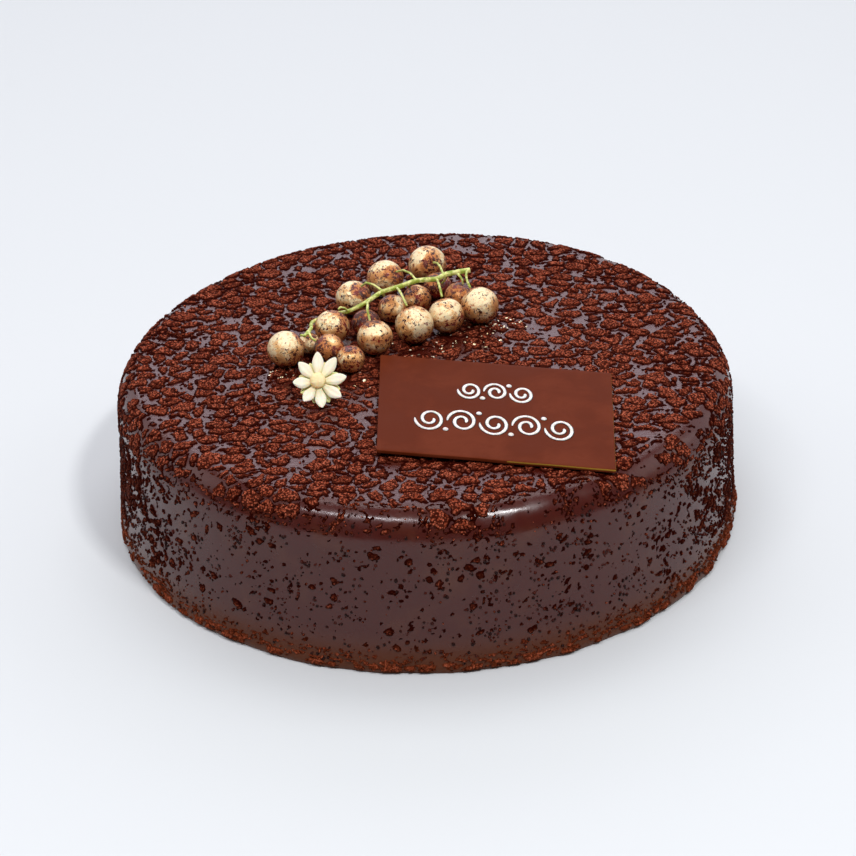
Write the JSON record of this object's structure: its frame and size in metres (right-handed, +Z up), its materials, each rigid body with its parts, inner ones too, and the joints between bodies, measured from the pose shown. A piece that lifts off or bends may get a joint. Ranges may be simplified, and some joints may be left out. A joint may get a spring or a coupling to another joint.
{
  "type": "sachertorte cake",
  "caption": "Whole round chocolate torte under a crumb-dusted glaze, topped with gilded currants on their stem, a sugar daisy and a chocolate plaque with piped ornament.",
  "frame": {"origin": "centre of the resting face under the cake", "axes": "+Z up through the cake; the front of the cake, with the plaque, looks along -Y; +X is to the right of that front"},
  "size_m": [0.1806, 0.1807, 0.061],
  "materials": {
    "glaze": "dark chocolate glaze under reddish-brown crumbs",
    "milk_chocolate": "satin milk chocolate",
    "currant": "dark red skin under gold leaf",
    "stem": "yellowish green stalk",
    "petals": "ivory sugar paste",
    "leaves": "pale yellow-green sugar paste",
    "daisy_centre": "peach yellow sugar paste",
    "piping": "white sugar icing"
  },
  "bodies": {
    "root": {"cake": "glaze", "plaque": "milk_chocolate", "stem": "stem", "daisy_petals": "petals", "daisy_back": "leaves", "daisy_centre": "daisy_centre", "currant_01": "currant", "currant_02": "currant", "currant_03": "currant", "currant_04": "currant", "currant_05": "currant", "currant_06": "currant", "currant_07": "currant", "currant_08": "currant", "currant_09": "currant", "currant_10": "currant", "currant_11": "currant", "currant_12": "currant", "currant_13": "currant", "currant_14": "currant", "currant_15": "currant", "currant_16": "currant", "currant_17": "currant"}
  },
  "joints": []
}
